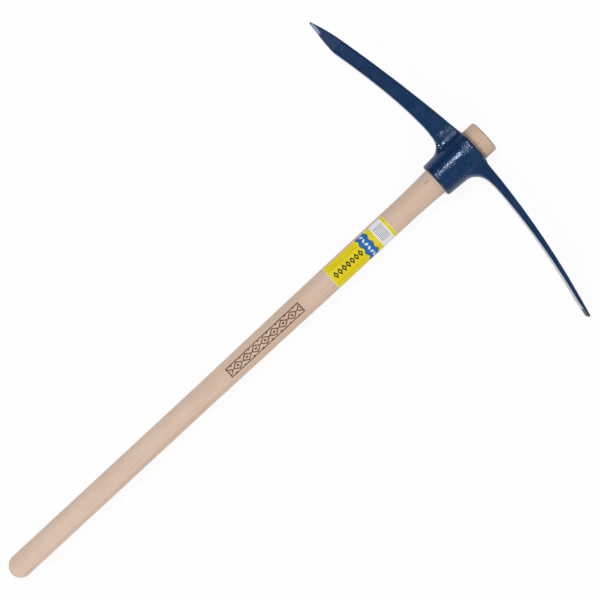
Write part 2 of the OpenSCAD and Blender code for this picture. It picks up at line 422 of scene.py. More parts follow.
headSettings = {
    "eyeLowRadius": 0.02165,
    "eyeTopRadius": 0.0258,
    "eyeLead": 0.001,
    "eyeSides": 128,
    "plugWall": 0.0035,  # how far the plug stands into the collar's wall
    "voxel": 0.001,
    "softStep": 0.5,
    "softPasses": 2,
    "rootPasses": 26,  # where the arms grow out of the collar
    "rootOut": (0.022, 0.056),
    "rootStart": 0.680,
    "rootEnds": (0.734, 0.722),  # on the chisel's side and on the point's
    "rootFade": 0.007,
    "rootDents": 0.0013,
    "rootDentSize": 0.0065,
    "beatenAt": (0.7235, 0.0045),  # the collar's upper rim, beaten down a little
    "beatenAbove": 0.02,
    "beatenDepth": 0.0016,
    "beatenReach": 0.018,
    "groundAt": (0.668, 0.283, 0.0024),  # the flats ground on the tip
    "groundFacing": (-0.60, 0.265, 1.0),
    "groundSize": 0.06,
    "groundFrom": 0.25,
    "groundEven": 0.9999,  # how alike its faces' normals are
    "dents": 0.0002,  # broad hammer dents, all inwards
    "dentSize": 0.024,
    "scale": 0.00008,  # fine unevenness of scaled steel under the lacquer
    "scaleSize": 0.007,
    "edgeAngles": (75, 105),  # hollow to sharp, for the wear along the edges
    "edgeBlur": 2,
    "smoothAngle": 40,
}


def turnedCone(name, lowX, highX, lowRadius, highRadius):
    deselectAll()
    bpy.ops.mesh.primitive_cone_add(
        vertices=headSettings["eyeSides"], radius1=lowRadius, radius2=highRadius, depth=highX - lowX,
        location=((lowX + highX) / 2, 0, 0), rotation=alongX)
    cone = nameNew(name)
    bakePlace()
    return cone


def makeEyeCutter():
    s = headSettings
    lead = s["eyeLead"]
    low, high = eyeLowX + lead, eyeTopX - lead
    cutter = turnedCone("eyeCutter", low, high, s["eyeLowRadius"], s["eyeTopRadius"])
    rims = ((-1, low, s["eyeLowRadius"]), (1, high, s["eyeTopRadius"]))
    for side, x, radius in rims:  # flared at both
        editPart(cutter, "FACE", lambda face: face.normal.x * side > 0.9)
        bpy.ops.mesh.extrude_region_move(TRANSFORM_OT_translate={"value": (side * 2 * lead, 0, 0)})
        grow = 1 + 2 * lead / radius
        bpy.ops.transform.resize(value=(1, grow, grow), center_override=(x, 0, 0))
    deselectAll()
    return cutter


def markRoots(head):
    s = headSettings
    roots = head.vertex_groups.new(name="roots")
    for vert in head.data.vertices:
        share = 1
        along = (s["rootStart"], s["rootEnds"][vert.co.y > 0])
        for value, (start, end) in ((abs(vert.co.y), s["rootOut"]), (vert.co.x, along)):
            share = min(share, (value - start) / s["rootFade"], (end - value) / s["rootFade"])
        if share > 0:
            roots.add([vert.index], share, "REPLACE")


def beatRim(head):
    s = headSettings
    x, y = s["beatenAt"]
    upper = [vert for vert in head.data.vertices if vert.co.z > s["beatenAbove"]]
    middle = min(upper, key=lambda vert: math.hypot(vert.co.x - x, vert.co.y - y)).index
    editPart(head, "VERT", lambda vert: vert.index == middle)
    bpy.ops.transform.translate(value=(0, 0, -s["beatenDepth"]), use_proportional_edit=True,
                                proportional_edit_falloff="SHARP", proportional_size=s["beatenReach"])
    deselectAll()


def grindTip(head):
    s = headSettings
    for side in (-1, 1):
        mirror = Vector((1, 1, side))
        facing = (Vector(s["groundFacing"]) * mirror).normalized()
        middle = Vector(s["groundAt"]) * mirror + facing * s["groundSize"] / 2
        deselectAll()
        bpy.ops.mesh.primitive_cube_add(size=s["groundSize"], location=middle,
                                        rotation=facing.to_track_quat("Z", "Y").to_euler())
        stone = nameNew("grindstone")
        bakePlace()
        modify(head, "BOOLEAN", object=stone, operation="DIFFERENCE", solver="EXACT")
        bpy.data.objects.remove(stone)
        editPart(head, "FACE", lambda face: (
            face.normal.dot(facing) > s["groundEven"] and face.center.y > s["groundFrom"]))
        bpy.ops.mesh.region_to_loop()
        bpy.ops.mesh.mark_sharp()
    deselectAll()


def markEdges(head):
    s = headSettings
    hollow, sharp = (math.radians(angle) for angle in s["edgeAngles"])
    pickOnly(head)
    bpy.ops.geometry.color_attribute_add(
        name="edges", domain="POINT", data_type="FLOAT_COLOR", color=(1, 1, 1, 1))
    bpy.ops.paint.vertex_color_dirt(
        blur_iterations=s["edgeBlur"], clean_angle=sharp, dirt_angle=hollow, normalize=False)


def dent(head, texture, depth, where=""):
    modify(head, "DISPLACE", texture=texture, vertex_group=where, texture_coords="LOCAL",
           strength=depth, mid_level=1.0)  # inwards only


def makeHead():
    s = headSettings
    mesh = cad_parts["forged_head"].data.copy()
    mesh.materials.clear()
    head = bpy.data.objects.new("forged_head_steel", mesh)
    bpy.context.scene.collection.objects.link(head)
    pickOnly(head)
    bpy.ops.mesh.customdata_custom_splitnormals_clear()
    bpy.ops.object.mode_set(mode="EDIT")
    bpy.ops.mesh.select_all(action="SELECT")
    bpy.ops.mesh.remove_doubles(threshold=mergeGap)
    plug = turnedCone("eyePlug", eyeLowX, eyeTopX,
                      s["eyeLowRadius"] + s["plugWall"], s["eyeTopRadius"] + s["plugWall"])
    pickOnly(head)
    plug.select_set(True)
    bpy.ops.object.join()
    modify(head, "REMESH", mode="VOXEL", voxel_size=s["voxel"])
    modify(head, "SMOOTH", factor=s["softStep"], iterations=s["softPasses"])
    markRoots(head)
    modify(head, "SMOOTH", factor=s["softStep"], iterations=s["rootPasses"], vertex_group="roots")
    beatRim(head)
    chiselSide = [vert.index for vert in head.data.vertices if vert.co.y < 0]
    head.vertex_groups["roots"].remove(chiselSide)  # only the point's root is dented
    dent(head, cloudTexture("rootDents", s["rootDentSize"], 1), s["rootDents"], "roots")
    head.vertex_groups.clear()
    dent(head, cloudTexture("hammerDents", s["dentSize"], 1), s["dents"])
    dent(head, cloudTexture("steelScale", s["scaleSize"], 2), s["scale"])
    cutter = makeEyeCutter()
    modify(head, "BOOLEAN", object=cutter, operation="DIFFERENCE", solver="EXACT")
    bpy.data.objects.remove(cutter)
    grindTip(head)
    markEdges(head)
    pickOnly(head)
    bpy.ops.object.shade_smooth_by_angle(angle=math.radians(s["smoothAngle"]))
    return head


head = makeHead()
print("head forged:", len(head.data.polygons), "faces")


# label: a plane with rounded corners, cut into strips, thickened and bent round the neck

labelSettings = {
    "length": 0.117,
    "neckRadius": 0.0195,
    "wrap": 135,  # degrees round the neck
    "turn": 8,  # degrees from the top towards the chisel
    "skew": -0.5,  # put on by hand, a little askew
    "glue": 0.0001,
    "paper": 0.00015,
    "cornerRound": 0.0018,
    "cornerSteps": 5,
    "stripWidth": 0.0011,
    "stripLength": 0.006,
    "smoothAngle": 30,
}
labelRadius = labelSettings["neckRadius"] + labelSettings["glue"]
labelWidth = labelRadius * math.radians(labelSettings["wrap"])


def makeLabel():
    s = labelSettings
    deselectAll()
    bpy.ops.mesh.primitive_plane_add(size=1)
    label = nameNew("paper_label")
    label.scale = (s["length"], labelWidth, 1)
    bakePlace()
    editPart(label, "VERT", lambda vert: True)
    bpy.ops.mesh.bevel(affect="VERTICES", offset=s["cornerRound"], segments=s["cornerSteps"])
    cuts = []
    strips = ((labelWidth, s["stripWidth"], (0, 1, 0)), (s["length"], s["stripLength"], (1, 0, 0)))
    for span, every, axis in strips:
        count = round(span / every)
        cuts += [(Vector(axis) * span * (i / count - 0.5), axis) for i in range(1, count)]
    for spot, across in cuts:
        bpy.ops.mesh.select_all(action="SELECT")
        bpy.ops.mesh.bisect(plane_co=spot, plane_no=across)
    deselectAll()
    sheet = label.data
    flat = sheet.uv_layers.active or sheet.uv_layers.new(name="print")
    flat.name = "print"
    for loop in sheet.loops:  # the print lies flat on the sheet
        spot = sheet.vertices[loop.vertex_index].co
        flat.data[loop.index].uv = (spot.x / s["length"] + 0.5, spot.y / labelWidth + 0.5)
    pickOnly(label)
    label.rotation_euler = (0, 0, math.radians(s["skew"]))
    bakePlace()
    label.rotation_euler = (math.pi / 2, 0, 0)  # stands up, its face to -Y, for the bend
    bakePlace()
    modify(label, "SOLIDIFY", thickness=s["paper"], offset=1)
    heights = [vert.co.z for vert in sheet.vertices]
    bend = (max(heights) - min(heights)) / labelRadius
    modify(label, "SIMPLE_DEFORM", deform_method="BEND", deform_axis="X", angle=bend)
    middle = (labelLow.x + labelHigh.x) / 2
    editPart(label, "VERT", lambda vert: True)
    bpy.ops.transform.translate(value=(middle, -labelRadius, 0))
    pickOnly(label)
    label.rotation_euler = (math.radians(s["turn"] - 90), 0, 0)
    bakePlace()
    bpy.ops.object.shade_smooth_by_angle(angle=math.radians(s["smoothAngle"]))
    return label


label = makeLabel()
print("label bent round the neck:", len(label.data.polygons), "faces")

for piece, body, node, slot in (
        (handle, "handle", "handle", "beech"),
        (head, "head", "forged_head", "blue_lacquer"),
        (label, "handle", "label", "label_paper")):
    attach(piece, body)
    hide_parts(node)


# beech: growth rings, fibres, ray flecks, hairline checks and a burnt-in frieze of lozenges

beechSettings = {
    "pale": tone(221, 196, 177),
    "deep": tone(206, 179, 158),
    "fleck": tone(168, 130, 104),
    "end": tone(190, 158, 132),
    # painted shade, for the band by the eye and round the top's rim
    "shadeBrown": tone(128, 97, 74),
    "scorch": tone(176, 140, 112),
    "burnt": tone(98, 66, 47),
    "check": tone(118, 88, 68),
    # the tree's pith beside the shaft, how the shaft leans to it in degrees, and the rings round it
    "pith": (0.0, 0.061, -0.047),
    "pithLean": (0, 0.6, -0.9),
    "ringStretch": (0.06, 1, 1),
    "ringWidth": 0.0042,
    "ringWaver": {"Distortion": 3.0, "Detail": 1.5, "Detail Scale": 0.25},
    "lateWood": (0.35, 1.0),
    "fibres": dict(stretch=(0.03, 1, 1), size=0.0010, low=0.2, high=0.8),
    "mottle": dict(stretch=(0.30, 1, 1), size=0.032, low=0.3, high=0.7),
    "flecks": dict(stretch=(0.22, 1, 1), size=0.0017, radius=0.30, amount=0.45),
    "pores": dict(stretch=(0.5, 1, 1), size=0.0008, radius=0.35, amount=0.5),
    # how much each of them darkens the wood
    "growthShare": 0.34,
    "fibreShare": 0.26,
    "mottleShare": 0.40,
    "headward": (0.05, 0.65),  # where the wood darkens towards the head
    "headwardShare": 0.55,
    "fleckShare": 0.22,
    "endLean": (0.80, 0.98),  # how far a face looks along the shaft to be end grain
    "endShares": (0.35, 0.25, 0.45),  # plain, pores, growth
    # painted shade: a brown band on the wood just above the eye's upper rim, where the collar meets it
    "shadeFrom": 0.02,
    "shadeReach": 0.0085,
    "shadePatches": dict(size=0.006, start=0.50),
    "shadeShare": 0.75,
    # the proud end, darker, with painted shade along the rim of its top
    "proudFade": (-0.002, 0.004),
    "proudShare": 0.32,
    "edgeShadeAlong": (-0.006, -0.001),
    "edgeShadeRadius": (0.019, 0.023),
    "edgeShadeStrength": 0.75,
    "edgeShadePatches": dict(size=0.004, start=0.58),
    "edgeShadeShare": 0.40,
    # burnt-in frieze
    "friezeMiddle": 0.305,
    "friezeReach": 0.072,
    "friezeCells": 4,  # to each side of its middle
    "friezeTurn": -0.05,  # radians round the shaft, from the top towards the point
    "friezeRadius": 0.0186,
    "railAcross": 0.0079,
    "railSoft": 0.0003,
    "stroke": 0.0018,
    "lozenge": dict(halfLength=0.0080, halfWidth=0.0056),
    "heart": dict(halfLength=0.0028, halfWidth=0.0021),
    "sideLozenge": dict(halfLength=0.0030, halfWidth=0.0032),
    "burnUneven": dict(stretch=evenly, size=0.004, low=0.25, high=0.6),
    "burnDepth": (0.65, 0.35),  # everywhere, and where it is uneven
    "scorchShare": 0.6,
    # checks in the wood: from, to, width
    "checks": (
        ((0.7280, -0.0024, 0.0258), (0.7475, 0.0012, 0.0250), 0.0018),
        ((0.6310, 0.0080, 0.0190), (0.6430, 0.0084, 0.0195), 0.0014),
        ((0.7470, 0.0010, 0.0015), (0.7470, 0.0170, 0.0090), 0.0010),
        ((0.7470, -0.0020, -0.0010), (0.7470, -0.0150, 0.0040), 0.0008),
        ((0.1500, -0.0135, 0.0119), (0.1860, -0.0128, 0.0127), 0.0005),
    ),
    "checkWander": 0.0016,
    "checkShare": 0.8,
    "rough": (0.52, 0.62),
    "burntRough": 0.2,
    "lathePitch": 0.0011,
    # heights of the bumps, and their strength and depth
    "latheHeight": 0.06,
    "fibreHeight": 0.35,
    "fleckHeight": -0.15,
    "burntHeight": -1.0,
    "checkHeight": -1.4,
    "bumps": (0.5, 0.00025),
    "specular": 0.25,
}


def addFrieze(tree, x, y, z):
    s = beechSettings
    along = calc(tree, "SUBTRACT", x, s["friezeMiddle"])
    turn = calc(tree, "ADD", calc(tree, "ARCTAN2", y, z), -s["friezeTurn"])
    across = times(tree, turn, s["friezeRadius"])
    pitch = s["friezeReach"] / s["friezeCells"]
    row = dict(along=along, across=across, pitch=pitch, stroke=s["stroke"], reach=s["friezeReach"])
    lines = place(tree, lozengeRow, "outline", **row, **s["lozenge"])
    lines = largest(tree, lines, place(tree, lozengeRow, "inside", **row, **s["heart"]))
    row["along"] = calc(tree, "ADD", along, pitch / 2)
    for side in (-1, 1):  # half lozenges against each rail
        row["across"] = calc(tree, "ADD", across, side * s["railAcross"])
        part = place(tree, lozengeRow, "inside", **row, **s["sideLozenge"])
        lines = largest(tree, lines, part)
    half = s["stroke"] / 2
    length = calc(tree, "ABSOLUTE", along)
    width = calc(tree, "ABSOLUTE", across)
    inRun = calc(tree, "LESS_THAN", length, s["friezeReach"] + half)
    inWidth = calc(tree, "LESS_THAN", width, s["railAcross"] + half)
    rails = band(tree, width, s["railAcross"] - half, s["railAcross"] + half, s["railSoft"])
    ends = band(tree, length, s["friezeReach"] - half, s["friezeReach"] + half, s["railSoft"])
    lines = largest(tree, lines, largest(tree, rails, ends))
    inside = times(tree, inRun, inWidth)  # nothing runs past the rails
    return times(tree, lines, inside)


def makeBeech():
    s = beechSettings
    material, tree, shader = startMaterial("beech")
    places = addNode(tree, "TexCoord").outputs
    spot = places["Object"]
    x, y, z = splitAxes(tree, spot)
    facing = calc(tree, "ABSOLUTE", splitAxes(tree, places["Normal"])[0])
    endGrain = ramp(tree, facing, *s["endLean"])

    shifted = addNode(tree, "Mapping")
    lean = [math.radians(angle) for angle in s["pithLean"]]
    fill(tree, shifted, {"Vector": spot, "Location": s["pith"], "Rotation": lean, "Scale": s["ringStretch"]})
    rings = addNode(tree, "TexWave", wave_type="RINGS", rings_direction="X", wave_profile="SAW")
    scale = math.tau / 20 / s["ringWidth"]  # at scale 1 a ring is tau / 20 wide
    fill(tree, rings, dict(s["ringWaver"], Vector=shifted.outputs["Vector"], Scale=scale))
    growth = ramp(tree, rings.outputs["Fac"], *s["lateWood"])
    fibres = place(tree, softMottle, vector=spot, **s["fibres"])
    mottle = place(tree, softMottle, vector=spot, **s["mottle"])
    flecks = place(tree, fineSpecks, vector=spot, **s["flecks"])
    pores = place(tree, fineSpecks, vector=spot, **s["pores"])

    share = times(tree, growth, s["growthShare"])
    share = addShares(tree, share, (fibres, s["fibreShare"]), (mottle, s["mottleShare"]),
                      (ramp(tree, x, *s["headward"]), s["headwardShare"]))
    colour = blendTone(tree, share, s["pale"], s["deep"])
    colour = layTone(tree, colour, s["fleck"], flecks, s["fleckShare"])
    plain, byPores, byGrowth = s["endShares"]
    ended = addShares(tree, plain, (pores, byPores), (growth, byGrowth))
    colour = layTone(tree, colour, s["end"], endGrain, ended)

    # painted shade: brown on the wood just above the eye's upper rim
    rimShaded = calc(tree, "SUBTRACT", 1.0, ramp(tree, x, eyeTopX, eyeTopX + s["shadeReach"]))
    rimShaded = times(tree, rimShaded, calc(tree, "GREATER_THAN", x, eyeLowX + s["shadeFrom"]))
    rimShaded = place(tree, edgeWear, edge=rimShaded, vector=spot, **s["shadePatches"])
    colour = layTone(tree, colour, s["shadeBrown"], rimShaded, s["shadeShare"])
    proud = ramp(tree, x, *(eyeTopX + step for step in s["proudFade"]))
    colour = layTone(tree, colour, s["end"], proud, s["proudShare"])
    # painted shade: darker along the rounded rim of the top
    outward = calc(tree, "ADD", times(tree, y, y), times(tree, z, z))
    outward = calc(tree, "SQRT", outward)
    edgeShaded = ramp(tree, x, *(topX + step for step in s["edgeShadeAlong"]))
    edgeShaded = times(tree, edgeShaded, ramp(tree, outward, *s["edgeShadeRadius"]))
    edgeShaded = times(tree, edgeShaded, s["edgeShadeStrength"])
    edgeShaded = place(tree, edgeWear, edge=edgeShaded, vector=spot, **s["edgeShadePatches"])
    colour = layTone(tree, colour, s["shadeBrown"], edgeShaded, s["edgeShadeShare"])

    frieze = addFrieze(tree, x, y, z)
    uneven = place(tree, softMottle, vector=spot, **s["burnUneven"])
    everywhere, unevenly = s["burnDepth"]
    depth = times(tree, frieze, addShares(tree, everywhere, (uneven, unevenly)))
    colour = layTone(tree, colour, s["scorch"], frieze, s["scorchShare"])  # a faint scorch round the lines
    colour = blendTone(tree, depth, colour, s["burnt"])

    cracks = 0.0
    for start, end, width in s["checks"]:
        line = place(tree, hairline, vector=spot, start=start, end=end, width=width,
                     wander=s["checkWander"])
        cracks = largest(tree, line, cracks)
    colour = layTone(tree, colour, s["check"], cracks, s["checkShare"])

    rough = addShares(tree, ramp(tree, mottle, 0.0, 1.0, *s["rough"]), (depth, s["burntRough"]))
    fill(tree, shader, {"Base Color": colour, "Roughness": rough, "Specular IOR Level": s["specular"]})
    lathe = waves(tree, x, s["lathePitch"])
    height = times(tree, fibres, s["fibreHeight"])
    height = addShares(tree, height, (lathe, s["latheHeight"]), (flecks, s["fleckHeight"]),
                       (depth, s["burntHeight"]), (cracks, s["checkHeight"]))
    bumps(tree, shader, height, *s["bumps"])
    return material


handle.data.materials.append(makeBeech())


# blue lacquer: dipped paint over forged steel

lacquerSettings = {
    "body": tone(14, 43, 79),
    "thin": tone(24, 58, 98),
    "thick": tone(9, 37, 73),
    "sheen": (0.62, 0.76, 1.0, 1.0),
    "steel": tone(128, 132, 138),
    "blunt": tone(46, 46, 49),
    # painted shade for the collar's lower rim
    "rim": tone(6, 18, 42),
    "specular": 0.65,
    "pools": dict(stretch=evenly, size=0.030, low=0.3, high=0.7),
    "drift": dict(stretch=evenly, size=0.008, low=0.3, high=0.75),
    "driftShare": 0.22,
    "peelSize": 0.0026,
    "nibs": dict(stretch=evenly, size=0.006, radius=0.10, amount=0.35),
    "collarReach": (0.028, 0.036),  # where the collar ends towards the arms
    # ridges across the collar
    "ripple": 0.0046,
    "rippleSway": 0.0070,
    "swaySize": 0.008,
    "patches": dict(stretch=evenly, size=0.009, low=0.3, high=0.65),
    "ridgeShares": (0.25, 0.75),  # everywhere, and in patches
    # paint draws back from sharp edges and is scuffed there
    "edgeThin": (0.66, 0.92),
    "edgeShare": 0.35,
    "scuffWear": dict(size=0.005, start=1.02),
    "scuffShare": 0.45,
    # scratches in the paint: from, to, width
    "scratches": (
        ((0.6960, 0.0900, 0.0108), (0.7030, 0.1010, 0.0108), 0.0005),
        ((0.6800, 0.1760, 0.0099), (0.6815, 0.1940, 0.0098), 0.0005),
        ((0.7010, -0.1080, 0.0190), (0.7000, -0.1230, 0.0200), 0.0005),
    ),
    "scratchWander": 0.0003,
    "scratchShare": 0.35,
    # bare steel at the tip, along the chisel's edge and on the bevel under it
    "bareReach": 0.00672,
    "bareWear": dict(size=0.003, start=0.5),
    "bareMetal": 0.2,
    "bevelReach": (0.017, 0.0119),
    "bevelLean": (-0.4, -0.7),
    # painted shade: a dark band at the collar's lower rim, where it meets the wood
    "rimShadeReach": (0.00204, 0.0034),
    "rimShadeShare": 0.7,
    # roughness: of the paint, and what is added to it
    "rough": (0.14, 0.17),
    "collarRough": 0.04,
    "scuffRough": 0.15,
    "bareRough": 0.4,
    "workedFrom": (0.2465, 0.2475),  # dull towards the tip
    "workedWaver": 0.003,
    "workedRough": 0.54,
    "flatLean": (-0.30, -0.42),  # the tip's ground flats, which shine at its end alone
    "flatFrom": (0.252, 0.260),
    "flatRough": 0.10,
    "shineFrom": (0.270, 0.278),
    "unshinyRough": 0.34,
    "rootAlong": (0.691, 0.703),  # dull on the point's root
    "rootOut": (0.030, 0.046),
    "rootSoft": 0.007,
    "rootRough": 0.30,
    "ringAlong": (0.7075, 0.7165),  # and in a ring under the upper rim
    "ringSoft": 0.003,
    "ringRough": 0.14,
    # heights of the bumps, and their strength and depth
    "peelHeights": (0.3, 1.3),  # everywhere, and more on the collar
    "ridgeHeight": 0.50,
    "nibHeight": 0.12,
    "scuffHeight": -0.2,
    "bumps": (0.4, 0.0006),
}


def addDullness(tree, x, y, leaning, drift, onCollar):
    s = lacquerSettings
    onFlats = ramp(tree, leaning, *s["flatLean"])
    offFlats = ramp(tree, leaning, *reversed(s["flatLean"]))
    worked = ramp(tree, addShares(tree, y, (drift, s["workedWaver"])), *s["workedFrom"])
    worked = times(tree, worked, offFlats)
    flats = times(tree, onFlats, ramp(tree, y, *s["flatFrom"]))
    unshiny = times(tree, flats, ramp(tree, y, *s["shineFrom"], 1.0, 0.0))
    root = band(tree, y, *s["rootOut"], s["rootSoft"])
    root = times(tree, root, ramp(tree, x, *s["rootAlong"]))
    ring = times(tree, band(tree, x, *s["ringAlong"], s["ringSoft"]), onCollar)
    return ((worked, s["workedRough"]), (flats, s["flatRough"]), (unshiny, s["unshinyRough"]),
            (root, s["rootRough"]), (ring, s["ringRough"]))


def makeLacquer():
    s = lacquerSettings
    material, tree, shader = startMaterial("blue_lacquer")
    places = addNode(tree, "TexCoord").outputs
    spot = places["Object"]
    x, y = splitAxes(tree, spot)[:2]
    pools = place(tree, softMottle, vector=spot, **s["pools"])
    drift = place(tree, softMottle, vector=spot, **s["drift"])
    peel = noise(tree, spot, s["peelSize"])
    nibs = place(tree, fineSpecks, vector=spot, **s["nibs"])
    onCollar = ramp(tree, calc(tree, "ABSOLUTE", y), *s["collarReach"], 1.0, 0.0)
    swayed = addShares(tree, x, (noise(tree, spot, s["swaySize"]), s["rippleSway"]))
    ridges = waves(tree, swayed, s["ripple"])
    patches = place(tree, softMottle, vector=spot, **s["patches"])
    everywhere, inPatches = s["ridgeShares"]
    ridges = times(tree, ridges, addShares(tree, everywhere, (patches, inPatches)))

    colour = blendTone(tree, pools, s["thick"], s["body"])
    colour = layTone(tree, colour, s["thin"], drift, s["driftShare"])
    edges = addNode(tree, "VertexColor", layer_name="edges")
    edge = splitAxes(tree, edges.outputs["Color"])[0]
    colour = layTone(tree, colour, s["thin"], ramp(tree, edge, *s["edgeThin"]), s["edgeShare"])

    scuffs = place(tree, edgeWear, edge=edge, vector=spot, **s["scuffWear"])
    for start, end, width in s["scratches"]:
        line = place(tree, hairline, vector=spot, start=start, end=end, width=width,
                     wander=s["scratchWander"])
        scuffs = largest(tree, times(tree, line, s["scratchShare"]), scuffs)
    colour = layTone(tree, colour, s["steel"], scuffs, s["scuffShare"])
    ends = ramp(tree, y, headHigh.y - s["bareReach"], headHigh.y)
    ends = largest(tree, ends, ramp(tree, y, headLow.y + s["bareReach"], headLow.y))
    bare = place(tree, edgeWear, edge=ends, vector=spot, **s["bareWear"])
    leaning = splitAxes(tree, places["Normal"])[0]
    bevel = ramp(tree, y, *(headLow.y + reach for reach in s["bevelReach"]))
    bevel = times(tree, bevel, ramp(tree, leaning, *s["bevelLean"]))
    bare = largest(tree, bare, bevel)
    colour = blendTone(tree, bare, colour, s["blunt"])
    # painted shade: a darker band at the collar's lower rim
    rim = ramp(tree, x, *(eyeLowX + reach for reach in s["rimShadeReach"]), s["rimShadeShare"], 0.0)
    colour = blendTone(tree, rim, colour, s["rim"])

    rough = ramp(tree, pools, 0.0, 1.0, *s["rough"])
    rough = addShares(tree, rough, (onCollar, s["collarRough"]), (scuffs, s["scuffRough"]),
                      *addDullness(tree, x, y, leaning, drift, onCollar), (bare, s["bareRough"]))
    metal = times(tree, bare, s["bareMetal"])
    fill(tree, shader, {"Base Color": colour, "Metallic": metal, "Roughness": rough,
                        "Specular IOR Level": s["specular"], "Specular Tint": s["sheen"]})
    everywhere, moreOnCollar = s["peelHeights"]
    coarse = addShares(tree, everywhere, (onCollar, moreOnCollar))
    height = times(tree, times(tree, ridges, onCollar), s["ridgeHeight"])
    height = addShares(tree, height, (peel, coarse), (nibs, s["nibHeight"]), (scuffs, s["scuffHeight"]))
    bumps(tree, shader, height, *s["bumps"])
    return material


head.data.materials.append(makeLacquer())


# printed paper: yellow with a white band, a wavy blue band of discs and a row of dark lozenges

printSettings = {
    "yellow": tone(226, 208, 8),
    "amber": tone(218, 190, 12),
    "white": tone(228, 227, 230),
    "grey": tone(134, 138, 142),
    "blue": tone(28, 104, 176),
    "navy": tone(40, 42, 104),
    "dark": tone(44, 40, 34),
    "brown": tone(150, 116, 34),
    "paper": tone(233, 229, 216),
    "ink": dict(stretch=evenly, size=0.016, low=0.3, high=0.75),
    "inkShare": 0.5,
    "printSoft": 0.0002,
    # places along the label are from its lower end, and across it from its edge towards the chisel
    "whiteBand": (0.090, 0.1115),
    "hatchAlong": (0.093, 0.1085),
    "hatchAcross": (0.013, 0.037),
    "hatchHalfPitch": 0.0012,
    "hatchStroke": (0.0004, 0.0006),
    "hatchSoft": 0.0001,
    "blueBand": (0.0645, 0.0805),
    "navyEdge": 0.0008,
    "waveHeight": 0.0014,
    "waveLength": 0.0137,
    "discPitch": 0.0068,
    "discRadius": (0.0021, 0.0024),
    "rowMiddle": (0.0335, 0.0235),  # along, across
    "rowReach": 0.028,
    "rowCells": 3.5,  # to each side of its middle
    "rowStroke": 0.0004,
    "lozenge": dict(halfLength=0.0037, halfWidth=0.0060),
    "heart": dict(halfLength=0.0014, halfWidth=0.0023),
    "lines": (0.0125, 0.0345),  # across
    "lineRun": (0.007, 0.0595),
    "lineHalf": 0.0003,
    "lineSoft": 0.00015,
    "lineWave": 0.009,
    "lineSway": 0.0008,
    "lineShare": 0.8,
    # bare paper along the cut edges, and where the print has chipped or creased
    "margin": (0.00018, 0.0015),
    "edgeWear": dict(size=0.0025, start=0.62),
    "chips": dict(stretch=evenly, size=0.005, radius=0.09, amount=0.30),
    "crease": dict(start=(0.083, 0.036, 0), end=(0.089, 0.012, 0), width=0.0006, wander=0.002),
    "creaseShare": 0.6,
    "wornShare": 0.8,
    "rough": (0.48, 0.58),
    "wornRough": 0.2,
    "fibre": (0.0007, 3.0, 0.6),  # size, detail, roughness
    "bubbles": (0.007, 1.0, 0.4),
    # heights of the bumps, and their strength and depth
    "fibreHeight": 0.15,
    "bubbleHeight": 0.8,
    "wornHeight": -0.2,
    "bumps": (0.3, 0.0003),
    "specular": 0.2,
}


def addHatch(tree, along, across):
    s = printSettings
    half = s["hatchHalfPitch"]
    hatch = calc(tree, "ABSOLUTE", calc(tree, "WRAP", along, half, -half))
    hatch = ramp(tree, hatch, *s["hatchStroke"], 1.0, 0.0)
    hatch = times(tree, hatch, band(tree, across, *s["hatchAcross"], s["printSoft"]))
    return times(tree, hatch, band(tree, along, *s["hatchAlong"], s["hatchSoft"]))


def addDiscs(tree, waved, across):
    s = printSettings
    half = s["discPitch"] / 2
    parts = (calc(tree, "WRAP", across, half, -half), calc(tree, "SUBTRACT", waved, sum(s["blueBand"]) / 2))
    squares = [times(tree, part, part) for part in parts]
    gap = calc(tree, "SQRT", calc(tree, "ADD", *squares))
    return ramp(tree, gap, *s["discRadius"], 1.0, 0.0)


def addLines(tree, along, across):
    s = printSettings
    ripple = waves(tree, along, s["lineWave"])
    rippled = addShares(tree, across, (ripple, s["lineSway"]))
    half = s["lineHalf"]
    lines = [band(tree, rippled, at - half, at + half, s["lineSoft"]) for at in s["lines"]]
    inRun = band(tree, along, *s["lineRun"], s["printSoft"])
    return times(tree, largest(tree, *lines), inRun)


